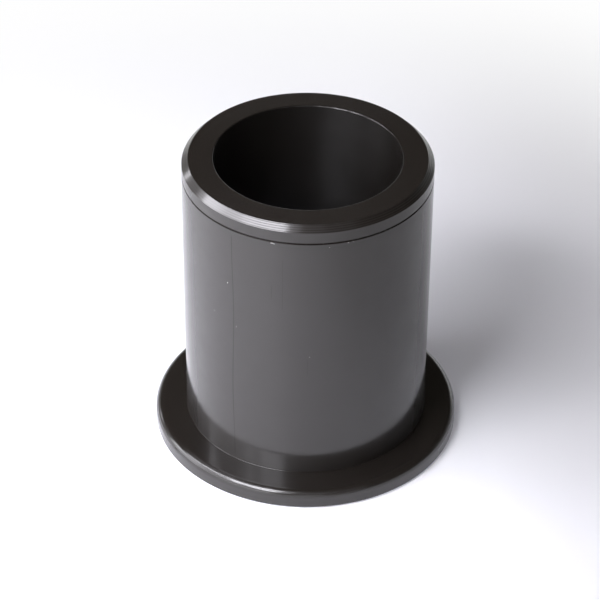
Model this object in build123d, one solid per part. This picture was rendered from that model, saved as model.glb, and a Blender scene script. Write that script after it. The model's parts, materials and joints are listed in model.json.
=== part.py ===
from build123d import *
import os

# Flanged plain bushing, moulded in one piece.
# The axis is Z. The flange's underside lies on Z = 0, and the sleeve's chamfered tip points along +Z.
# All sizes are in millimetres.

# Driving sizes: bore, wall, flange and length
BORE_DIAMETER = 15.0
WALL = 2.5
FLANGE_REACH = 2.6
FLANGE_THICKNESS = 1.6
OVERALL_LENGTH = 25.7

# Driving sizes: the tip, where the bushing enters its housing
LEAD_IN = 0.5
GROOVE_BELOW_TIP = 1.5
GROOVE_WIDTH = 0.14
GROOVE_FLOOR = 0.05
GROOVE_DEPTH = 0.06

# Driving sizes: edges
TIP_MOUTH_ROUND = 0.1
FLANGE_EDGE_ROUND = 0.65
FLANGE_ROOT_FILLET = 0.08
FOOT_CHAMFER = 0.15
FOOT_MOUTH_CHAMFER = 0.3

# Radii and heights that follow from them
BORE_RADIUS = BORE_DIAMETER / 2
SLEEVE_RADIUS = BORE_RADIUS + WALL
FLANGE_RADIUS = SLEEVE_RADIUS + FLANGE_REACH
LEAD_IN_FOOT = OVERALL_LENGTH - LEAD_IN
GROOVE_CENTRE = OVERALL_LENGTH - GROOVE_BELOW_TIP


def half_section():
    """The solid side of the section through the axis, with radius across and height up.

    Each corner is (radius, height, rounding), in order up the outside and down the bore."""
    flange = [
        (BORE_RADIUS + FOOT_MOUTH_CHAMFER, 0, 0),
        (FLANGE_RADIUS - FOOT_CHAMFER, 0, 0),
        (FLANGE_RADIUS, FOOT_CHAMFER, 0),
        (FLANGE_RADIUS, FLANGE_THICKNESS, FLANGE_EDGE_ROUND),
        (SLEEVE_RADIUS, FLANGE_THICKNESS, FLANGE_ROOT_FILLET),
    ]
    groove_radius = SLEEVE_RADIUS - GROOVE_DEPTH
    witness_groove = [
        (SLEEVE_RADIUS, GROOVE_CENTRE - GROOVE_WIDTH / 2, 0),
        (groove_radius, GROOVE_CENTRE - GROOVE_FLOOR / 2, 0),
        (groove_radius, GROOVE_CENTRE + GROOVE_FLOOR / 2, 0),
        (SLEEVE_RADIUS, GROOVE_CENTRE + GROOVE_WIDTH / 2, 0),
    ]
    tip = [
        (SLEEVE_RADIUS, LEAD_IN_FOOT, 0),
        (SLEEVE_RADIUS - LEAD_IN, OVERALL_LENGTH, 0),
        (BORE_RADIUS, OVERALL_LENGTH, TIP_MOUTH_ROUND),
    ]
    foot_mouth = [
        (BORE_RADIUS, FOOT_MOUTH_CHAMFER, 0),
    ]
    corners = flange + witness_groove + tip + foot_mouth
    outline = FilletPolyline(
        [(radius, height) for radius, height, rounding in corners],
        radius=[rounding for radius, height, rounding in corners],
        close=True,
    )
    return make_face(Plane.XZ * outline)


flanged_bushing = revolve(half_section(), axis=Axis.Z)

os.makedirs("parts", exist_ok=True)
export_step(flanged_bushing, "parts/flanged_bushing.step")
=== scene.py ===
import json
import math

import bpy
from mathutils import Matrix, Vector


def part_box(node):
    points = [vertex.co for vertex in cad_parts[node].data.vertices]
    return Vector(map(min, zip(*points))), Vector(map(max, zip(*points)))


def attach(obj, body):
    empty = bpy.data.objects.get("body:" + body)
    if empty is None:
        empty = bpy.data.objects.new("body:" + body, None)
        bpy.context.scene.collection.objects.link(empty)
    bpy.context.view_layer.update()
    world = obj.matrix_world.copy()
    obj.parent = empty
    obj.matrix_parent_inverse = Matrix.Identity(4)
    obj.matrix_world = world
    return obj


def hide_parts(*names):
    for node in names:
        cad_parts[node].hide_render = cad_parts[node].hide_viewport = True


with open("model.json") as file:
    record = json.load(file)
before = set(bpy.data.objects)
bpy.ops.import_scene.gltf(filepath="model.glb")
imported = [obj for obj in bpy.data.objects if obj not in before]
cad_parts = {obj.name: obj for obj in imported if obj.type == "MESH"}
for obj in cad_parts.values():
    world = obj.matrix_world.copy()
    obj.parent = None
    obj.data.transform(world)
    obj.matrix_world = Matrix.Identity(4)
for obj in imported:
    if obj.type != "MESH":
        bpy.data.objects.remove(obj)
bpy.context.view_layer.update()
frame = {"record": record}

# A flanged plain bushing of near-black plastic, standing on its flange on a pale studio floor.
# The scene is in metres, with the axis on Z and the flange's underside on Z = 0. Only the plastic's
# material works in millimetres.
# An angle round the axis is in degrees from the front, with the side on the camera's right positive.
# A name that ends in LEVELS gives the two levels of a noise between which its patches come in.

MM = 0.001
MOUNTS = {mount["name"]: mount for mount in frame["record"]["mounts"]}

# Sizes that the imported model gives
OVERALL_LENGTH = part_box("flanged_bushing")[1].z
FLANGE_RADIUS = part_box("flanged_bushing")[1].x
SLEEVE_RADIUS = MOUNTS["sleeve"]["dims"]["r_mm"] * MM
BORE_RADIUS = MOUNTS["bore"]["dims"]["r_mm"] * MM
FLANGE_THICKNESS = MOUNTS["shoulder"]["pos_m"][2]
MIDDLE = Vector((0.0, 0.0, OVERALL_LENGTH / 2))

# Edges and the witness groove, as the solid has them, with the sharp corners broken by a hair
LEAD_IN = 0.5 * MM
GROOVE_BELOW_TIP = 1.5 * MM
GROOVE_WIDTH = 0.14 * MM
GROOVE_FLOOR = 0.05 * MM
GROOVE_DEPTH = 0.06 * MM
TIP_MOUTH_ROUND = 0.1 * MM
FLANGE_EDGE_ROUND = 0.65 * MM
FLANGE_ROOT_FILLET = 0.08 * MM
FOOT_CHAMFER = 0.15 * MM
FOOT_MOUTH_CHAMFER = 0.3 * MM
BROKEN_EDGE = 0.03 * MM
GROOVE_EDGE = 0.015 * MM

# The turning mark round the lead-in chamfer. RIDGE_FLANK is the share of each turn that its shallow
# flank takes. The mark fades out towards both edges of the chamfer. In some patches, which are about
# RIDGE_PATCH across, it has only RIDGE_FAINTEST of its height.
RIDGE_PITCH = 0.18 * MM
RIDGE_HEIGHT = 0.0035 * MM
RIDGE_FLANK = 0.7
RIDGE_FADE = 0.08 * MM
RIDGE_PATCH = 2.5 * MM
RIDGE_PATCH_LEVELS = (0.35, 0.62)
RIDGE_FAINTEST = 0.6

# The parting lines: the front one's angle, how far they wander and how fast, in radians to a metre,
# and the fine crease along them. Across SEAM_ZONE the mesh is finer.
SEAM_ANGLE = -35.2
SEAM_WANDER = 0.07 * MM
SEAM_TURNS = 450.0
SEAM_START = 0.6
SEAM_WIDTH = 0.07 * MM
SEAM_DEPTH = 0.003 * MM
SEAM_ZONE = 0.6 * MM

# The drawn wall's slow waves: their depth, and how many there are to a metre round it and along it
WAVE_DEPTH = 0.004 * MM
WAVES_ROUND = 450.0
WAVES_ALONG = 50.0

# The waves and the creases come in over the first of these distances above the flange, and go out
# over the second, measured down from the witness groove
WALL_START = (0.3 * MM, 1.2 * MM)
WALL_END = (0.2 * MM, 0.8 * MM)

# How far off a face a point takes the face's marks in full, and how far off it takes none
OFF_SLOPE = (0.0025 * MM, 0.005 * MM)
OFF_WALL = (0.01 * MM, 0.02 * MM)

# Flash and grit that stand on the sleeve: the angle, and in mm the height, width, tallness and how far
# they stand out
NIBS = [
    (-15.5, 24.04, 0.30, 0.09, 0.05),
    (-14.6, 24.00, 0.14, 0.06, 0.03),
    (18.3, 24.07, 0.12, 0.05, 0.03),
    (20.6, 24.10, 0.10, 0.04, 0.03),
    (9.8, 23.84, 0.06, 0.04, 0.02),
    (-38.1, 19.0, 0.08, 0.12, 0.03),
    (-46.6, 15.55, 0.05, 0.04, 0.02),
    (-33.3, 15.1, 0.04, 0.04, 0.02),
    (-61.65, 18.7, 0.06, 0.05, 0.02),
    (1.6, 13.4, 0.08, 0.03, 0.02),
]

# Tiny burrs along the witness groove: how many, the largest one's size, its breadth to its height,
# the smallest one's share of that size, and the width of the ring that they lie in
BURRS = 90
BURR_SIZE = 0.022 * MM
BURR_BREADTH = 1.6
SMALLEST_BURR = 0.4
BURR_SPREAD = 0.10 * MM
BURR_SEED = 7

# How finely the surface is divided. HOLD is the narrow step beside each rounding that keeps the rest
# of a face flat in the shading.
SEGMENTS = 368
SEAM_STEPS = 24
POINTS_PER_CORNER = 3
ROUND_STEPS = 9
EDGE_STEPS = 3
LONGEST_STEP = 1.2 * MM
CHAMFER_STEP = 0.016 * MM
HOLD = 0.02 * MM
LUMP_SEGMENTS = 10
LUMP_RINGS = 6

# The photograph's camera, from the edges of the object in it. AIM_PIXEL is where the middle of the
# object's axis shows, and the sensor's width is in mm.
PHOTO_SIDE = 600
FOCAL_PIXELS = 2499.2
CAMERA_DISTANCE = 204.5 * MM
CAMERA_ELEVATION = math.radians(36.04)
CAMERA_ROLL = math.radians(0.61)
AIM_PIXEL = (306.75, 287.9)
SENSOR = 36.0
NEAREST_SEEN = 10 * MM


class Wire:
    """An output socket. Python's operators on it add Math nodes to its tree."""

    def __init__(self, board, socket):
        self.board = board
        self.socket = socket

    def __add__(self, other):
        return self.board.maths("ADD", self, other)

    def __radd__(self, other):
        return self.board.maths("ADD", other, self)

    def __sub__(self, other):
        return self.board.maths("SUBTRACT", self, other)

    def __rsub__(self, other):
        return self.board.maths("SUBTRACT", other, self)

    def __mul__(self, other):
        return self.board.maths("MULTIPLY", self, other)

    def __rmul__(self, other):
        return self.board.maths("MULTIPLY", other, self)

    def __truediv__(self, other):
        return self.board.maths("DIVIDE", self, other)

    def __neg__(self):
        return self.board.maths("MULTIPLY", self, -1)

    def __abs__(self):
        return self.board.maths("ABSOLUTE", self)

    def __lt__(self, other):
        return self.board.maths("LESS_THAN", self, other)

    def __gt__(self, other):
        return self.board.maths("GREATER_THAN", self, other)

    def __mod__(self, other):
        return self.board.maths("MODULO", self, other)


class Several(list):
    """Wires that all go into one socket."""


class Board:
    """Adds nodes to one shader or geometry tree."""

    def __init__(self, tree):
        self.tree = tree

    def node(self, kind, settings=None, inputs=None):
        """A new node. Its settings are set first, and then its inputs get values or links.

        The setting items is the number of values that an index switch chooses from."""
        made = self.tree.nodes.new(kind)
        for name, value in (settings or {}).items():
            if name == "items":
                for _ in range(value - len(made.index_switch_items)):
                    made.index_switch_items.new()
            else:
                setattr(made, name, value)
        for key, value in (inputs or {}).items():
            if isinstance(value, Wire):
                self.tree.links.new(value.socket, made.inputs[key])
            elif isinstance(value, Several):
                for wire in value:
                    self.tree.links.new(wire.socket, made.inputs[key])
            else:
                made.inputs[key].default_value = value
        return made

    def add(self, kind, settings=None, inputs=None, output=0):
        """As node, but gives one of its outputs as a Wire."""
        return Wire(self, self.node(kind, settings, inputs).outputs[output])

    def maths(self, operation, *values):
        return self.add("ShaderNodeMath", {"operation": operation}, dict(enumerate(values)))

    def vector_maths(self, operation, *values, output=0):
        kind = {"operation": operation}
        return self.add("ShaderNodeVectorMath", kind, dict(enumerate(values)), output)

    def smooth(self, value, low, high, to_low=0.0, to_high=1.0):
        """A smooth step from to_low, where value is low, to to_high."""
        kind = {"interpolation_type": "SMOOTHSTEP"}
        span = {"Value": value, "From Min": low, "From Max": high, "To Min": to_low, "To Max": to_high}
        return self.add("ShaderNodeMapRange", kind, span)

    def vector(self, x, y, z):
        return self.add("ShaderNodeCombineXYZ", inputs={0: x, 1: y, 2: z})

    def split(self, vector):
        """The three parts of a vector, as Wires."""
        parts = self.node("ShaderNodeSeparateXYZ", inputs={0: vector})
        return [Wire(self, output) for output in parts.outputs]

    def noise(self, vector, scale, detail=2.0, roughness=0.5):
        """Cloudy noise about 0.5, between 0 and 1."""
        grain = {"Vector": vector, "Scale": scale, "Detail": detail, "Roughness": roughness}
        return self.add("ShaderNodeTexNoise", {"noise_dimensions": "3D"}, grain, "Fac")

    def blend(self, share, first, second):
        """The colour first where share is 0, and second where it is 1."""
        # A Mix node's sockets 6 and 7 are its two colours, and its output 2 is the mixed one
        mix = self.node("ShaderNodeMix", {"data_type": "RGBA"}, {0: share, 6: first, 7: second})
        return Wire(self, mix.outputs[2])


# The moulding's geometry

def geometry_tree(name, inputs):
    """An empty tree with a geometry output and named inputs, each with its socket type and value.

    It gives the tree, its board, and each input as a Wire, by name."""
    tree = bpy.data.node_groups.new(name, "GeometryNodeTree")
    tree.interface.new_socket("Geometry", in_out="OUTPUT", socket_type="NodeSocketGeometry")
    for label, (kind, _) in inputs.items():
        tree.interface.new_socket(label, in_out="INPUT", socket_type=kind)
    board = Board(tree)
    group = board.node("NodeGroupInput")
    sizes = {label: Wire(board, group.outputs[label]) for label in inputs}
    return tree, board, sizes


def finish_tree(board, geometry, material):
    """Ends a tree: real geometry, smooth shading, one material."""
    real = board.add("GeometryNodeRealizeInstances", inputs={"Geometry": geometry})
    smooth = board.add("GeometryNodeSetShadeSmooth", inputs={"Geometry": real, "Shade Smooth": True})
    painted = board.add("GeometryNodeSetMaterial", inputs={"Geometry": smooth, "Material": material})
    board.node("NodeGroupOutput", inputs={"Geometry": painted})


def mesh_from_tree(name, tree, inputs):
    """Runs a tree with its inputs' values and keeps the result as a plain mesh object."""
    carrier = bpy.data.objects.new(name + "_carrier", bpy.data.meshes.new(name + "_carrier"))
    bpy.context.scene.collection.objects.link(carrier)
    modifier = carrier.modifiers.new("tree", "NODES")
    modifier.node_group = tree
    for item in tree.interface.items_tree:
        if item.in_out == "INPUT":
            modifier[item.identifier] = inputs[item.name][1]
    depsgraph = bpy.context.evaluated_depsgraph_get()
    evaluated = carrier.evaluated_get(depsgraph)
    mesh = bpy.data.meshes.new_from_object(evaluated, preserve_all_data_layers=True, depsgraph=depsgraph)
    mesh.name = name
    carrier.modifiers.remove(modifier)
    bpy.data.objects.remove(carrier)
    piece = bpy.data.objects.new(name, mesh)
    bpy.context.scene.collection.objects.link(piece)
    return piece


def section_corners(size):
    """The half section's corners, up the outside and down the bore.

    Each is (radius, height, rounding, steps of the rounding)."""
    sleeve, bore, flange = size["Sleeve radius"], size["Bore radius"], size["Flange radius"]
    top, thickness, lead_in = size["Overall length"], size["Flange thickness"], size["Lead-in"]
    foot, mouth = size["Foot chamfer"], size["Foot mouth chamfer"]
    steps, broken = size["Round steps"], (size["Broken edge"], size["Edge steps"])
    groove_edge = (size["Groove edge"], size["Edge steps"])
    groove = top - size["Groove below tip"]
    half_width, half_floor = size["Groove width"] / 2, size["Groove floor"] / 2
    deep = sleeve - size["Groove depth"]
    return [
        (bore + mouth, 0.0, *broken),
        (flange - foot, 0.0, *broken),
        (flange, foot, *broken),
        (flange, thickness, size["Flange edge round"], steps),
        (sleeve, thickness, size["Flange root fillet"], steps),
        (sleeve, groove - half_width, *groove_edge),
        (deep, groove - half_floor, *groove_edge),
        (deep, groove + half_floor, *groove_edge),
        (sleeve, groove + half_width, *groove_edge),
        (sleeve, top - lead_in, *broken),
        (sleeve - lead_in, top, *broken),
        (bore, top, size["Tip mouth round"], steps),
        (bore, mouth, *broken),
    ]


def pick(board, kind, which, values):
    """The value whose place in the list is which."""
    inputs = {"Index": which, **{str(i): value for i, value in enumerate(values)}}
    return board.add("GeometryNodeIndexSwitch", {"data_type": kind, "items": len(values)}, inputs)


def section_curve(board, size):
    """The closed half section in the XY plane: radius beyond the bore along X, height along -Y.

    Between two corners, a point beside each holds the flat stretch flat up to the rounding."""
    corners = section_corners(size)
    count = len(corners)
    bore = size["Bore radius"]
    places = [board.vector(radius - bore, 0.0 - height, 0.0) for radius, height, _, _ in corners]
    rounds = [rounding for _, _, rounding, _ in corners]
    index = board.add("GeometryNodeInputIndex")
    corner = board.maths("FLOOR", index / POINTS_PER_CORNER)
    part = index - corner * POINTS_PER_CORNER
    following = (corner + 1) % count
    here = pick(board, "VECTOR", corner, places)
    there = pick(board, "VECTOR", following, places)
    rounding = pick(board, "FLOAT", corner, rounds)
    span = board.vector_maths("DISTANCE", here, there, output="Value")
    first = (rounding + size["Hold"]) / span
    second = 1.0 - (pick(board, "FLOAT", following, rounds) + size["Hold"]) / span
    along = pick(board, "FLOAT", part, [0.0, first, second])
    # A Mix node's sockets 4 and 5 are its two vectors, and its output 1 is the mixed one
    place = board.add("ShaderNodeMix", {"data_type": "VECTOR"}, {0: along, 4: here, 5: there}, 1)
    points = board.add("GeometryNodeMeshLine", inputs={"Count": POINTS_PER_CORNER * count})
    placed = board.add("GeometryNodeSetPosition", inputs={"Geometry": points, "Position": place})
    line = board.add("GeometryNodeMeshToCurve", inputs={"Mesh": placed})
    closed = board.add("GeometryNodeSetSplineCyclic", inputs={"Geometry": line, "Cyclic": True})
    steps = pick(board, "INT", corner, [steps for _, _, _, steps in corners])
    fillet = {"Curve": closed, "Count": steps, "Radius": rounding * (part < 0.5), "Limit Radius": False}
    return board.add("GeometryNodeFilletCurve", {"mode": "POLY"}, fillet)


def divided(board, curve, size):
    """Cuts each stretch of the section into steps, with fine ones on the lead-in chamfer.

    Only the chamfer's stretch has its middle near that height and in the outer half of the wall."""
    here = board.add("GeometryNodeInputPosition")
    following = board.add("GeometryNodeOffsetPointInCurve", inputs={"Offset": 1}, output="Point Index")
    there = board.add("GeometryNodeFieldAtIndex", {"data_type": "FLOAT_VECTOR"},
                      {"Value": here, "Index": following})
    stretch = board.vector_maths("DISTANCE", here, there, output="Value")
    outward, depth, _ = board.split(board.vector_maths("ADD", here, there))
    top, lead_in = size["Overall length"], size["Lead-in"]
    beside_chamfer = abs(depth / 2 + (top - lead_in / 2)) < lead_in / 3
    beyond_middle = outward > size["Sleeve radius"] - size["Bore radius"]
    on_chamfer = beside_chamfer * beyond_middle
    step = size["Longest step"] + (size["Chamfer step"] - size["Longest step"]) * on_chamfer
    cuts = board.add("FunctionNodeFloatToInt", {"rounding_mode": "CEILING"}, {0: stretch / step - 1})
    return board.add("GeometryNodeSubdivideCurve", inputs={"Curve": curve, "Cuts": cuts})


def on_wall(board, angle, height, radius):
    """The point at an angle from the front, in radians, a height and a radius."""
    return board.vector(board.maths("SINE", angle) * radius, -board.maths("COSINE", angle) * radius, height)


def round_path(board, size):
    """A circle round the bore, with its points close together across the two parting lines.

    Each half of it starts with the fine steps, over the zone of a parting line."""
    half, fine = size["Segments"] / 2, size["Seam steps"]
    zone = size["Seam zone"] / size["Sleeve radius"]
    index = board.add("GeometryNodeInputIndex")
    side = board.maths("FLOOR", index / half)
    step = index - side * half
    across = step / fine * zone
    around = zone + (step - fine) / (half - fine) * (math.pi - zone)
    angle = around + (across - around) * (step < fine) + side * math.pi + size["Seam angle"] - zone / 2
    points = board.add("GeometryNodeMeshLine", inputs={"Count": size["Segments"]})
    place = on_wall(board, angle, 0.0, size["Bore radius"])
    placed = board.add("GeometryNodeSetPosition", inputs={"Geometry": points, "Position": place})
    line = board.add("GeometryNodeMeshToCurve", inputs={"Mesh": placed})
    return board.add("GeometryNodeSetSplineCyclic", inputs={"Geometry": line, "Cyclic": True})


def turned(board, curve, size):
    """Sweeps the section round the bore. The sweep turns the section's Y to -Z."""
    upright = board.add("GeometryNodeSetCurveNormal", {"mode": "Z_UP"}, {"Curve": round_path(board, size)})
    sweep = {"Curve": upright, "Profile Curve": curve, "Fill Caps": False}
    swept = board.add("GeometryNodeCurveToMesh", inputs=sweep)
    return board.add("GeometryNodeFlipFaces", inputs={"Mesh": swept})


def ridged(board, mesh, size):
    """Cuts a fine helical turning mark into the lead-in chamfer, fainter in some patches.

    Each turn of it is a long shallow flank and a short steep one. The mark lies across the slope, so
    its depth goes equally inwards and down."""
    position = board.add("GeometryNodeInputPosition")
    x, y, z = board.split(position)
    radius = board.maths("SQRT", x * x + y * y)
    below = size["Overall length"] - z
    beyond = radius - (size["Sleeve radius"] - size["Lead-in"])
    down_slope = (below + beyond) / math.sqrt(2)
    length = size["Lead-in"] * math.sqrt(2)
    fade = size["Ridge fade"]
    on_slope = 1 - board.smooth(abs(below - beyond), *OFF_SLOPE)
    inside = board.smooth(down_slope, fade / 3, fade) * board.smooth(length - down_slope, fade / 3, fade)
    patches = board.noise(position, 1 / RIDGE_PATCH, detail=1.0)
    patches = board.smooth(patches, *RIDGE_PATCH_LEVELS, RIDGE_FAINTEST, 1.0)
    turns = down_slope / size["Ridge pitch"] - board.maths("ARCTAN2", y, x) / (2 * math.pi)
    turn = board.maths("FRACT", turns)
    groove = board.maths("MINIMUM", turn / RIDGE_FLANK, (1 - turn) / (1 - RIDGE_FLANK))
    depth = groove * size["Ridge height"] * inside * on_slope * patches
    inward = -depth / math.sqrt(2)
    offset = board.vector(x / radius * inward, y / radius * inward, inward)
    return board.add("GeometryNodeSetPosition", inputs={"Geometry": mesh, "Offset": offset})


def drawn(board, mesh, size):
    """Gives the sleeve's wall a slow waviness round it and a crease along its parting lines."""
    position = board.add("GeometryNodeInputPosition")
    x, y, z = board.split(position)
    radius = board.maths("SQRT", x * x + y * y)
    low, high = size["Flange thickness"], size["Overall length"] - size["Groove below tip"]
    wall = 1 - board.smooth(size["Sleeve radius"] - radius, *OFF_WALL)
    wall = wall * board.smooth(z - low, *WALL_START)
    wall = wall * board.smooth(high - z, *WALL_END)
    waves = board.vector(x * WAVES_ROUND, y * WAVES_ROUND, z * WAVES_ALONG)
    wave = board.noise(waves, 1.0, detail=1.0) * size["Wave depth"]
    wander = board.maths("SINE", z * SEAM_TURNS + SEAM_START) * size["Seam wander"]
    turn = size["Seam angle"]
    off_seam = x * board.maths("COSINE", turn) + y * board.maths("SINE", turn) - wander
    crease = (1 - board.smooth(abs(off_seam), 0.0, size["Seam width"])) * size["Seam depth"]
    inward = -(wave + crease) * wall
    offset = board.vector(x / radius * inward, y / radius * inward, 0.0)
    return board.add("GeometryNodeSetPosition", inputs={"Geometry": mesh, "Offset": offset})


def lumps(board, points, angle, stretch):
    """Small rounded lumps on the points, each turned to face away from the axis."""
    shape = {"Segments": LUMP_SEGMENTS, "Rings": LUMP_RINGS, "Radius": 1.0}
    ball = board.add("GeometryNodeMeshUVSphere", inputs=shape)
    turn = board.add("FunctionNodeEulerToRotation", inputs={0: board.vector(0.0, 0.0, angle)})
    seated = {"Points": points, "Instance": ball, "Rotation": turn, "Scale": stretch}
    return board.add("GeometryNodeInstanceOnPoints", inputs=seated)


def nibs(board, size):
    """The flash and grit whose places the photograph shows."""
    places = [(math.radians(angle), height * MM, 0.0) for angle, height, _, _, _ in NIBS]
    stretches = [(wide / 2 * MM, proud * MM, tall / 2 * MM) for _, _, wide, tall, proud in NIBS]
    index = board.add("GeometryNodeInputIndex")
    angle, height, _ = board.split(pick(board, "VECTOR", index, places))
    points = board.add("GeometryNodeMeshLine", inputs={"Count": len(NIBS)})
    place = on_wall(board, angle, height, size["Sleeve radius"])
    placed = board.add("GeometryNodeSetPosition", inputs={"Geometry": points, "Position": place})
    return lumps(board, placed, angle, pick(board, "VECTOR", index, stretches))


def random_number(board, least, most, seed):
    """A number for each point, drawn from a fixed seed."""
    # Sockets 2 and 3 are the limits for a plain number, and socket 8 is the seed
    limits = {2: least, 3: most, 8: seed}
    return board.add("FunctionNodeRandomValue", {"data_type": "FLOAT"}, limits, 1)


def burrs(board, size):
    """Tiny burrs scattered along the witness groove."""
    turn = random_number(board, 0.0, 2 * math.pi, BURR_SEED)
    spread = random_number(board, -0.5, 0.5, BURR_SEED + 1)
    scale = random_number(board, SMALLEST_BURR, 1.0, BURR_SEED + 2)
    height = size["Overall length"] - size["Groove below tip"] + spread * size["Burr spread"]
    points = board.add("GeometryNodeMeshLine", inputs={"Count": size["Burrs"]})
    place = on_wall(board, turn, height, size["Sleeve radius"] - size["Burr size"] / 2)
    placed = board.add("GeometryNodeSetPosition", inputs={"Geometry": points, "Position": place})
    side = scale * size["Burr size"]
    return lumps(board, placed, turn, board.vector(side * BURR_BREADTH, side, side))


def joined(board, first, second):
    return board.add("GeometryNodeJoinGeometry", inputs={0: Several([first, second])})


def moulding_tree(inputs):
    """The whole moulding. Its flash carries an attribute that the material reads."""
    tree, board, size = geometry_tree("moulding", inputs)
    solid = turned(board, divided(board, section_curve(board, size), size), size)
    solid = drawn(board, ridged(board, solid, size), size)
    flash = joined(board, nibs(board, size), burrs(board, size))
    real = board.add("GeometryNodeRealizeInstances", inputs={"Geometry": flash})
    marked = board.add("GeometryNodeStoreNamedAttribute", {"data_type": "FLOAT", "domain": "POINT"},
                       {"Geometry": real, "Name": "flash", "Value": 1.0})
    finish_tree(board, joined(board, marked, solid), size["Plastic"])
    return tree


def moulding_inputs(plastic):
    """The tree's named inputs, each with its socket type and value."""
    number, whole = "NodeSocketFloat", "NodeSocketInt"
    return {
        "Overall length": (number, OVERALL_LENGTH),
        "Flange radius": (number, FLANGE_RADIUS),
        "Sleeve radius": (number, SLEEVE_RADIUS),
        "Bore radius": (number, BORE_RADIUS),
        "Flange thickness": (number, FLANGE_THICKNESS),
        "Lead-in": (number, LEAD_IN),
        "Groove below tip": (number, GROOVE_BELOW_TIP),
        "Groove width": (number, GROOVE_WIDTH),
        "Groove floor": (number, GROOVE_FLOOR),
        "Groove depth": (number, GROOVE_DEPTH),
        "Groove edge": (number, GROOVE_EDGE),
        "Tip mouth round": (number, TIP_MOUTH_ROUND),
        "Flange edge round": (number, FLANGE_EDGE_ROUND),
        "Flange root fillet": (number, FLANGE_ROOT_FILLET),
        "Foot chamfer": (number, FOOT_CHAMFER),
        "Foot mouth chamfer": (number, FOOT_MOUTH_CHAMFER),
        "Broken edge": (number, BROKEN_EDGE),
        "Ridge pitch": (number, RIDGE_PITCH),
        "Ridge height": (number, RIDGE_HEIGHT),
        "Ridge fade": (number, RIDGE_FADE),
        "Seam angle": (number, math.radians(SEAM_ANGLE)),
        "Seam wander": (number, SEAM_WANDER),
        "Seam width": (number, SEAM_WIDTH),
        "Seam depth": (number, SEAM_DEPTH),
        "Seam zone": (number, SEAM_ZONE),
        "Wave depth": (number, WAVE_DEPTH),
        "Burr size": (number, BURR_SIZE),
        "Burr spread": (number, BURR_SPREAD),
        "Burrs": (whole, BURRS),
        "Hold": (number, HOLD),
        "Longest step": (number, LONGEST_STEP),
        "Chamfer step": (number, CHAMFER_STEP),
        "Segments": (whole, SEGMENTS),
        "Seam steps": (whole, SEAM_STEPS),
        "Round steps": (whole, ROUND_STEPS),
        "Edge steps": (whole, EDGE_STEPS),
        "Plastic": ("NodeSocketMaterial", plastic),
    }


# The plastic. All lengths in this section are in millimetres.

TIP = OVERALL_LENGTH / MM
SHOULDER = FLANGE_THICKNESS / MM
FLANGE, SLEEVE, BORE = FLANGE_RADIUS / MM, SLEEVE_RADIUS / MM, BORE_RADIUS / MM
END_FACE_EDGE = (SLEEVE_RADIUS - LEAD_IN) / MM
GROOVE = (OVERALL_LENGTH - GROOVE_BELOW_TIP) / MM
DEGREE_ON_SLEEVE = math.radians(SLEEVE)

# Two heights or two radii, between which the look of one face goes over into the next one's
END_FACE_FADE = (TIP - 0.02, TIP - 0.01)
TIP_EDGE_FADE = (TIP - 0.2, TIP)
SHOULDER_FADE = (SHOULDER + 0.02, SHOULDER + 0.1)
RIM_FADE = (FLANGE - 0.1, FLANGE - 0.02)
SLEEVE_FADE = (SLEEVE - 0.08, SLEEVE - 0.03)
BORE_FADE = (BORE + 0.05, BORE + 0.15)

# The colours. The mottle goes up to MOTTLE_SHARE of the way to the lighter black, and the bore's
# colour is darkened by BORE_PAINTED_SHADE, as painted shade inside it.
BLACK = (0.0118, 0.0099, 0.0085, 1)
LIGHTER_BLACK = (0.01888, 0.01584, 0.0136, 1)
NO_COLOUR = (0.0, 0.0, 0.0, 1)
# The pale colour of the flash and grit, and of the mouth's nicks, which are partly a painted highlight
PALE_FLASH_AND_HIGHLIGHT = (0.24, 0.235, 0.225, 1)
MOTTLE_SHARE = 0.3
BORE_PAINTED_SHADE = 0.5

# The gloss: a lobe that is spread one way, as by draw marks too fine to see, and a clear coat over it.
# The flat faces have FLAT_ROUGHNESS, and the others have HAZE more. In this section a name that ends
# in LOSS is the share of the haze, the coat or the whole gloss that a face or a mark goes without, and
# one with PAINTED_SHADE in it is a share of the whole gloss that a place goes without, as painted shade.
FLAT_ROUGHNESS = 0.2
HAZE = 0.32
BORE_HAZE_LOSS = 0.5
MOTTLE_LEVELS = (0.2, 0.8)
MOTTLE_ROUGHNESS = 0.06
PLASTIC_IOR, COAT_IOR = 1.325, 1.5
COAT_ROUGHNESS = 0.15
SPREAD, SPREAD_TURN = 0.9, 0.25
FLASH_COAT_LOSS, ROOT_COAT_LOSS, MOUTH_COAT_LOSS = 0.7, 0.6, 0.8

# The bump's patterns: the draw marks, the facing rings and the mould's grain, each with its height.
# The other numbers say how many there are to a millimetre, or to a radius for the marks round the
# wall. RING_DRIFT keeps a ring from being quite the same all round.
STREAKS_ROUND, STREAKS_ALONG, STREAK_HEIGHT = 34.0, 0.05, 0.0007
RINGS, RING_DRIFT, RING_HEIGHT = 9.0, 0.01, 0.0004
GRAINS, GRAIN_HEIGHT = 7.0, 0.0003
MOTTLES = 0.45

# Short rubs along the draw marks: angle, lower end, upper end and width
RUBS = [
    (-15.8, 18.6, 20.2, 0.06),
    (-10.75, 17.7, 22.75, 0.05),
    (0.7, 11.4, 13.3, 0.05),
]
RUB_FADE, RUB_DEPTH, RUB_LOSS = 0.4, 0.0015, 0.25

# The parting lines show from the first of these heights to the second, and fade over the third.
# Their creases lose gloss there, as painted shade.
SEAM_SPAN = (1.8, 23.9, 0.6)
SEAM_PAINTED_SHADE = 0.4

# The witness groove loses gloss as painted shade up to the first of these distances from its middle,
# and fades by the second
GROOVE_FADE = (0.07, 0.11)
GROOVE_PAINTED_SHADE = 0.8

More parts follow.
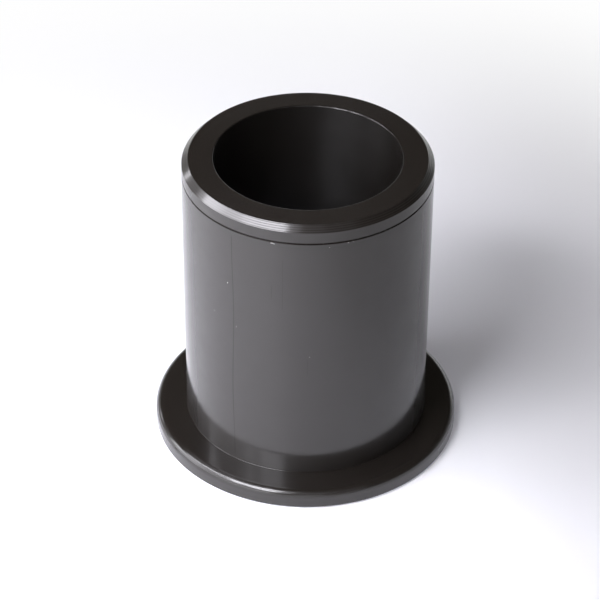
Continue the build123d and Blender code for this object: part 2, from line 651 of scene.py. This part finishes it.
# The flange's root loses a little gloss all round, more right of the front, and more far on the left,
# each over its own span of angles. This loss is painted shade in the corner.
ROOT_WIDTH = 0.14
ROOT_PAINTED_SHADE, ROOT_RIGHT_PAINTED_SHADE, ROOT_LEFT_PAINTED_SHADE = 0.1, 0.8, 0.7
ROOT_RIGHT, ROOT_LEFT = (-14.0, -2.0), (40.0, 60.0)

# The bore's edge at the tip, its mouth, lacks coat in patches, and towards the back they also lose gloss,
# as painted shade that dims the edge's highlight.
MOUTH_WIDTH = 0.25
MOUTH_PATCHES, MOUTH_PATCH_LEVELS = 1.6, (0.38, 0.6)
MOUTH_BACK, MOUTH_BACK_PAINTED_SHADE = (0.0, 4.0), 0.5

# The mouth also has fine pale nicks at its front left and, fainter, at its back right. In part they are
# a painted highlight along the edge.
NICK_AND_HIGHLIGHT_RADIUS, NICK_AND_HIGHLIGHT_WIDTH, NICK_AND_HIGHLIGHT_PALENESS = BORE + 0.05, 0.07, 0.5
NICK_AND_HIGHLIGHT_PATCHES, NICK_AND_HIGHLIGHT_PATCH_LEVELS = 3.5, (0.42, 0.6)
NICKS_AND_HIGHLIGHT_FRONT, NICKS_AND_HIGHLIGHT_LEFT = (1.5, 3.5), (-2.0, 1.0)
NICKS_AND_HIGHLIGHT_BACK, NICKS_AND_HIGHLIGHT_RIGHT, BACK_NICKS_AND_HIGHLIGHT = (2.0, 5.0), (-1.0, 2.0), 0.4

# The steep flanks of the chamfer's turning mark lose the first share of their gloss left of the first
# angle, and the second share right of the second angle. The loss paints dark shade lines on them.
CHAMFER_WIDTH, CHAMFER_MARGIN, CHAMFER_FADE = 0.04, 0.02, 0.03
FLANK_FADE = 0.15
FLANK_ANGLES, FLANK_PAINTED_SHADES = (-50.0, -22.0), (0.2, 0.8)


class Spot:
    """The place of a shaded point of the moulding, and masks of the faces that it may lie on."""

    def __init__(self, board):
        local = board.add("ShaderNodeTexCoord", output="Object")
        self.place = board.add("ShaderNodeVectorMath", {"operation": "SCALE"}, {0: local, "Scale": 1 / MM})
        self.x, self.y, self.z = board.split(self.place)
        self.radius = board.maths("SQRT", self.x * self.x + self.y * self.y)
        self.angle = board.maths("ARCTAN2", self.x, -self.y) * math.degrees(1)
        self.end_face = board.smooth(self.z, *END_FACE_FADE)
        self.tip_edge = board.smooth(self.z, *TIP_EDGE_FADE)
        self.sleeve = board.smooth(self.radius, *SLEEVE_FADE) * (1 - self.end_face)
        self.bore = 1 - board.smooth(self.radius, *BORE_FADE)
        above_flange, rim = board.smooth(self.z, *SHOULDER_FADE), board.smooth(self.radius, *RIM_FADE)
        shoulder = (1 - above_flange) * (1 - rim) * (1 - self.bore)
        self.flat = board.maths("MAXIMUM", self.end_face, shoulder)


def near(board, distance, width):
    """1 where a distance is nought, falling smoothly to 0 at width."""
    return 1 - board.smooth(abs(distance), 0.0, width)


def between(board, value, low, high, fade):
    """1 from low to high, falling smoothly to 0 within a fade inside each end."""
    return board.smooth(value, low, low + fade) * (1 - board.smooth(value, high - fade, high))


def new_material(name):
    material = bpy.data.materials.new(name)
    material.use_nodes = True
    material.node_tree.nodes.clear()
    return material, Board(material.node_tree)


def seam_line(board, spot):
    """The parting lines' creases, which wander a little to both sides of one plane."""
    turn = math.radians(SEAM_ANGLE)
    wander = board.maths("SINE", spot.z * (SEAM_TURNS * MM) + SEAM_START) * (SEAM_WANDER / MM)
    off_seam = spot.x * math.cos(turn) + spot.y * math.sin(turn) - wander
    return near(board, off_seam, SEAM_WIDTH / MM) * spot.sleeve * between(board, spot.z, *SEAM_SPAN)


def rub_marks(board, spot):
    """The short rubs on the sleeve, all in one mask."""
    rubs = 0.0
    for angle, low, high, width in RUBS:
        across = (spot.angle - angle) * DEGREE_ON_SLEEVE
        rubs = rubs + near(board, across, width) * between(board, spot.z, low, high, RUB_FADE) * spot.sleeve
    return rubs


def ridge_lines(board, spot):
    """How much gloss the steep flanks of the turning mark lose, as painted shade, with the same turns as in
    the mesh.
    """
    below, beyond = TIP - spot.z, spot.radius - END_FACE_EDGE
    chamfer = between(board, below, CHAMFER_MARGIN, LEAD_IN / MM - CHAMFER_MARGIN, CHAMFER_FADE)
    chamfer = near(board, below - beyond, CHAMFER_WIDTH) * chamfer
    turns = (below + beyond) / math.sqrt(2) / (RIDGE_PITCH / MM)
    turns = turns + board.maths("ARCTAN2", -spot.y, spot.x) / (2 * math.pi)
    steep = between(board, board.maths("FRACT", turns), RIDGE_FLANK - FLANK_FADE, 1.0, FLANK_FADE)
    return steep * chamfer * board.smooth(spot.angle, *FLANK_ANGLES, *FLANK_PAINTED_SHADES)


def mouth_patches(board, spot):
    """The patches of the bore's edge at the tip that lack coat, and towards the back take painted shade."""
    edge = near(board, spot.radius - BORE, MOUTH_WIDTH) * spot.tip_edge
    return edge * board.smooth(board.noise(spot.place, MOUTH_PATCHES), *MOUTH_PATCH_LEVELS)


def mouth_nicks(board, spot):
    """The fine pale nicks along the same edge, which are partly a painted highlight."""
    front_left = board.smooth(-spot.y, *NICKS_AND_HIGHLIGHT_FRONT) * board.smooth(-spot.x, *NICKS_AND_HIGHLIGHT_LEFT)
    back_right = board.smooth(spot.y, *NICKS_AND_HIGHLIGHT_BACK) * board.smooth(spot.x, *NICKS_AND_HIGHLIGHT_RIGHT)
    nicks = near(board, spot.radius - NICK_AND_HIGHLIGHT_RADIUS, NICK_AND_HIGHLIGHT_WIDTH) * spot.tip_edge
    nicks = nicks * board.smooth(board.noise(spot.place, NICK_AND_HIGHLIGHT_PATCHES), *NICK_AND_HIGHLIGHT_PATCH_LEVELS)
    return nicks * (front_left + back_right * BACK_NICKS_AND_HIGHLIGHT)


def dull_root(board, spot, root):
    """How much gloss the flange's root loses by the angle round it, as painted shade in the corner."""
    right = board.smooth(spot.angle, *ROOT_RIGHT) * ROOT_RIGHT_PAINTED_SHADE
    left = board.smooth(-spot.angle, *ROOT_LEFT) * ROOT_LEFT_PAINTED_SHADE
    return root * (ROOT_PAINTED_SHADE + right + left)


def fine_relief(board, spot, rubs):
    """The bump's height: draw marks along the axis, rings on the end face, grain, and the rubs."""
    around = board.vector(spot.x / spot.radius, spot.y / spot.radius, 0.0)
    along = board.vector(0.0, 0.0, spot.z * STREAKS_ALONG)
    drawn_place = board.add("ShaderNodeVectorMath", {"operation": "MULTIPLY_ADD"},
                            {0: around, 1: (STREAKS_ROUND, STREAKS_ROUND, 0.0), 2: along})
    streaks = board.noise(drawn_place, 1.0, detail=3.0, roughness=0.6) - 0.5
    rings = board.noise(board.vector(spot.radius * RINGS, spot.angle * RING_DRIFT, 0.0), 1.0) - 0.5
    grain = board.noise(spot.place, GRAINS, roughness=0.6) - 0.5
    relief = streaks * STREAK_HEIGHT + grain * GRAIN_HEIGHT + rings * spot.end_face * RING_HEIGHT
    return relief - rubs * RUB_DEPTH


def moulded_plastic():
    """Near-black plastic as it leaves the mould, glossy and hazy, with gloss lost in its rubs and, as
    painted shade, in its other marks.
    """
    material, board = new_material("moulded_plastic")
    spot = Spot(board)
    mottle = board.noise(spot.place, MOTTLES, detail=3.0, roughness=0.6)
    flash = board.add("ShaderNodeAttribute", {"attribute_name": "flash"}, output="Fac")
    rubs, mouth = rub_marks(board, spot), mouth_patches(board, spot)
    root = near(board, spot.radius - SLEEVE, ROOT_WIDTH) * near(board, spot.z - SHOULDER, ROOT_WIDTH)

    shade = board.blend(mottle * MOTTLE_SHARE, BLACK, LIGHTER_BLACK)
    # Painted shade: the bore's colour is darkened towards black
    shade = board.blend(spot.bore * BORE_PAINTED_SHADE, shade, NO_COLOUR)
    # Pale where the flash and grit are, and on the mouth's nicks with their painted highlight
    pale = board.maths("MAXIMUM", flash, mouth_nicks(board, spot) * NICK_AND_HIGHLIGHT_PALENESS)
    haze = (1 - spot.flat) * (1 - spot.bore * BORE_HAZE_LOSS)
    mottled = board.smooth(mottle, *MOTTLE_LEVELS, 0.0, MOTTLE_ROUGHNESS)
    relief = {"Strength": 1.0, "Distance": MM, "Height": fine_relief(board, spot, rubs)}
    glossy = board.add("ShaderNodeBsdfPrincipled", inputs={
        "Base Color": board.blend(pale, shade, PALE_FLASH_AND_HIGHLIGHT),
        "Roughness": mottled + FLAT_ROUGHNESS + haze * HAZE,
        "IOR": PLASTIC_IOR,
        "Anisotropic": SPREAD,
        "Anisotropic Rotation": SPREAD_TURN,
        "Coat Weight": 1 - flash * FLASH_COAT_LOSS - root * ROOT_COAT_LOSS - mouth * MOUTH_COAT_LOSS,
        "Coat Roughness": COAT_ROUGHNESS,
        "Coat IOR": COAT_IOR,
        "Normal": board.add("ShaderNodeBump", inputs=relief),
    })

    # The groove, the root, the back of the mouth, the seams and the turning mark's flanks lose gloss as
    # painted shade
    groove = (1 - board.smooth(abs(spot.z - GROOVE), *GROOVE_FADE)) * (1 - spot.bore)
    mouth_painted_shade = mouth * board.smooth(spot.y, *MOUTH_BACK, 0.0, MOUTH_BACK_PAINTED_SHADE)
    edges_painted_shade = groove * GROOVE_PAINTED_SHADE + dull_root(board, spot, root) + mouth_painted_shade
    lost = seam_line(board, spot) * SEAM_PAINTED_SHADE + rubs * RUB_LOSS + ridge_lines(board, spot) + edges_painted_shade
    gloss_lost_to_rubs_and_shade = board.maths("MINIMUM", lost, 1.0)
    # Mixing towards this matt black takes the gloss away: as wear in the rubs, and as painted shade
    # elsewhere
    dull = board.add("ShaderNodeBsdfDiffuse", inputs={"Color": BLACK})
    shader = board.add("ShaderNodeMixShader", inputs={0: gloss_lost_to_rubs_and_shade, 1: glossy, 2: dull})
    board.node("ShaderNodeOutputMaterial", inputs={"Surface": shader})
    return material


# The studio: a pale floor with a low wall round it, and soft boxes, most of them on the left

# The floor lies this far below the foot, so that the two faces don't share a plane
FLOOR_DROP = 0.01 * MM
FLOOR_COLOUR = (0.80, 0.805, 0.82, 1)
WHITE = (1.0, 1.0, 1.0, 1)

# The paper near the object gets a little light of its own. It falls off over FALL_OFF towards the
# right, and by BACK_LOSS over BACK_FALL_OFF towards the back, so that the shadow there stays.
FLOOR_LIFT = 0.31
LIFT_COLOUR = (0.95, 0.955, 1.07, 1)
FALL_OFF = (0.002, 0.028)
BACK_FALL_OFF = (-0.005, 0.015)
BACK_LOSS = 0.5

# Over the shadow's ring the paper goes over into plain white. Over the far ring that white gets
# dimmer on two sides, which the gloss mirrors: on the right, and towards the back left. A name that
# ends in SIDE is a span of how far a place lies that way, where 1 is straight that way. BACK_SHARE
# keeps the right side's dimness away from the back.
SHADOW_RING = (0.03, 0.08)
FAR_RING = (0.09, 0.45)
RIGHT_SIDE, RIGHT_DIM = (0.05, 0.35), 0.75
BACK_SHARE = 0.6
BACK_LEFT_SIDE, BACK_LEFT_DIM = (0.3, 0.9), 0.5

# The radii of the floor mesh's rings, the last one with the wall on it
FLOOR_RINGS = (*SHADOW_RING, 0.4, 1.5)
WALL_HEIGHT = 0.5
FLOOR_SEGMENTS = 128


def seen_ray(board):
    """1 for rays from the camera and those that gloss or glass sends on."""
    path = board.node("ShaderNodeLightPath")
    rays = ("Is Camera Ray", "Is Glossy Ray", "Is Transmission Ray")
    camera, gloss, glass = [Wire(board, path.outputs[name]) for name in rays]
    return board.maths("MINIMUM", camera + gloss + glass, 1.0)


def glow(board, share, colour):
    """Light of a colour, times a share that changes over the surface."""
    lit = board.blend(share, NO_COLOUR, colour)
    return board.add("ShaderNodeEmission", inputs={"Color": lit, "Strength": 1.0})


def floor_material():
    """Pale matt paper that keeps the object's shadow, and shows as plain white further out."""
    material, board = new_material("studio_floor")
    place = board.add("ShaderNodeTexCoord", output="Object")
    from_middle = board.vector_maths("LENGTH", place, output="Value")
    x, y, _ = board.split(place)
    seen = seen_ray(board)
    lit_side = (1 - board.smooth(x, *FALL_OFF)) * (1 - board.smooth(y, *BACK_FALL_OFF) * BACK_LOSS)
    paper = board.add("ShaderNodeBsdfDiffuse", inputs={"Color": FLOOR_COLOUR})
    lift = glow(board, seen * lit_side * FLOOR_LIFT, LIFT_COLOUR)
    lifted = board.add("ShaderNodeAddShader", inputs={0: paper, 1: lift})
    side, back = x / from_middle, board.maths("MAXIMUM", y / from_middle, 0.0)
    right = board.smooth(side - back * BACK_SHARE, *RIGHT_SIDE) * RIGHT_DIM
    # Twice the product is 1 halfway between the back and the left
    back_left = board.smooth(side * back * -2, *BACK_LEFT_SIDE) * BACK_LEFT_DIM
    dim = board.maths("MAXIMUM", right, back_left) * board.smooth(from_middle, *FAR_RING)
    white = glow(board, 1 - dim, WHITE)
    far = board.smooth(from_middle, *SHADOW_RING) * seen
    mixed = board.add("ShaderNodeMixShader", inputs={0: far, 1: lifted, 2: white})
    board.node("ShaderNodeOutputMaterial", inputs={"Surface": mixed})
    return material


def studio_floor():
    """A flat round floor with a low wall at its edge."""
    rings = [(radius, 0.0) for radius in FLOOR_RINGS] + [(FLOOR_RINGS[-1], WALL_HEIGHT)]
    mesh = bpy.data.meshes.new("studio_floor")
    points, faces = [(0.0, 0.0, -FLOOR_DROP)], []
    for radius, height in rings:
        for i in range(FLOOR_SEGMENTS):
            turn = 2 * math.pi * i / FLOOR_SEGMENTS
            points.append((radius * math.cos(turn), radius * math.sin(turn), height - FLOOR_DROP))
    for i in range(FLOOR_SEGMENTS):
        beside = (i + 1) % FLOOR_SEGMENTS
        faces.append((0, 1 + i, 1 + beside))
        for ring in range(len(rings) - 1):
            inner, outer = 1 + ring * FLOOR_SEGMENTS, 1 + (ring + 1) * FLOOR_SEGMENTS
            faces.append((inner + i, outer + i, outer + beside, inner + beside))
    mesh.from_pydata(points, [], faces)
    mesh.materials.append(floor_material())
    floor = bpy.data.objects.new("studio_floor", mesh)
    bpy.context.scene.collection.objects.link(floor)
    return floor


def direction(azimuth, elevation):
    """The unit vector at an azimuth from the front, right positive, and an elevation, in degrees."""
    turn, rise = math.radians(azimuth), math.radians(elevation)
    return Vector((math.sin(turn) * math.cos(rise), -math.cos(turn) * math.cos(rise), math.sin(rise)))


def soft_light(name, first, last, distance, rise, radiance):
    """A rectangular soft box that faces the middle of the object.

    From there it is a band between two directions, rise degrees high."""
    towards = (first + last).normalized()
    width = 2 * distance * math.tan(math.acos(first.dot(last)) / 2)
    height = 2 * distance * math.tan(math.radians(rise / 2))
    lamp = bpy.data.lights.new(name, "AREA")
    lamp.shape = "RECTANGLE"
    lamp.size, lamp.size_y = width, height
    lamp.energy = radiance * math.pi * width * height
    lamp.color = LAMP_COLOUR
    box = bpy.data.objects.new(name, lamp)
    across = (first - last).normalized()
    facing = Matrix((across, towards.cross(across), towards)).transposed().to_4x4()
    box.matrix_world = Matrix.Translation(MIDDLE + towards * distance) @ facing
    bpy.context.scene.collection.objects.link(box)


# The soft boxes: name, direction of one end and of the other, distance, rise in degrees, radiance.
# A direction is an azimuth and an elevation in degrees, seen from the middle of the object. The boxes
# and the glint stand where their reflections fall on the photograph's highlights, and the fills
# light the sides between them a little.
LAMP_COLOUR = (0.985, 0.975, 1.04)
ROOM_COLOUR = (0.05, 0.044, 0.037, 1)
SOFT_BOXES = [
    ("upper_soft_box", (-21, 52.5), (-63, 45.5), 0.15, 11, 20.0),
    ("side_soft_box", (-60, 46.5), (-99.5, 32.0), 0.08, 7, 16.0),
    ("front_soft_box_a", (-20, 35), (-42, 35), 0.15, 9, 12.5),
    ("front_soft_box_b", (-20, 35), (-56, 35), 0.15, 9, 8.0),
    ("front_soft_box_c", (-20, 35), (-68, 35), 0.15, 9, 3.0),
    ("edge_soft_box", (-48, 33), (-106, 18), 0.15, 12, 5.0),
    ("high_soft_box", (-50, 66), (-100, 50), 0.30, 14, 1.4),
    ("back_high_box", (-105, 58), (-160, 54), 0.30, 16, 0.7),
    ("low_front_box", (-22, 14), (-75, 14), 0.50, 24, 2.0),
    ("low_left_box", (-75, 14), (-110, 14), 0.50, 26, 3.0),
    ("left_fill", (-101, 30.5), (-124, 17), 0.15, 6, 0.9),
    ("back_glint", (-125.5, 15.9), (-130, 12.7), 0.15, 5, 8.0),
    ("beside_front_box", (-20, 42), (-9, 42), 0.15, 34, 2.0),
    ("front_fill", (-9, 32), (14, 32), 0.50, 50, 0.5),
    ("right_fill", (14, 30), (45, 28), 0.50, 50, 0.25),
]


def studio_lights():
    """The soft boxes, and a dark room round them."""
    for name, first, last, distance, rise, radiance in SOFT_BOXES:
        soft_light(name, direction(*first), direction(*last), distance, rise, radiance)
    world = bpy.data.worlds.new("studio_room")
    world.use_nodes = True
    world.node_tree.nodes.clear()
    board = Board(world.node_tree)
    room = board.add("ShaderNodeBackground", inputs={"Color": ROOM_COLOUR, "Strength": 1.0})
    board.node("ShaderNodeOutputWorld", inputs={"Surface": room})
    bpy.context.scene.world = world


def photo_camera():
    """The photograph's own view, with its slight roll and its framing."""
    lens = bpy.data.cameras.new("photo_camera")
    lens.sensor_width = SENSOR
    lens.lens = FOCAL_PIXELS / PHOTO_SIDE * SENSOR
    lens.shift_x = (PHOTO_SIDE / 2 - AIM_PIXEL[0]) / PHOTO_SIDE
    lens.shift_y = (AIM_PIXEL[1] - PHOTO_SIDE / 2) / PHOTO_SIDE
    lens.clip_start = NEAREST_SEEN
    rise = CAMERA_ELEVATION
    back = Vector((0.0, -math.cos(rise), math.sin(rise)))
    up = Vector((0.0, math.sin(rise), math.cos(rise)))
    right = Vector((1.0, 0.0, 0.0))
    rolled_right = right * math.cos(CAMERA_ROLL) + up * math.sin(CAMERA_ROLL)
    rolled_up = up * math.cos(CAMERA_ROLL) - right * math.sin(CAMERA_ROLL)
    facing = Matrix((rolled_right, rolled_up, back)).transposed().to_4x4()
    camera = bpy.data.objects.new("photo_camera", lens)
    camera.matrix_world = Matrix.Translation(MIDDLE + back * CAMERA_DISTANCE) @ facing
    bpy.context.scene.collection.objects.link(camera)
    bpy.context.scene.camera = camera


inputs = moulding_inputs(moulded_plastic())
bushing = mesh_from_tree("bushing_moulding", moulding_tree(inputs), inputs)
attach(bushing, "root")
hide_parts("flanged_bushing")

studio_floor()
studio_lights()
photo_camera()
bpy.context.scene.view_settings.view_transform = "Standard"
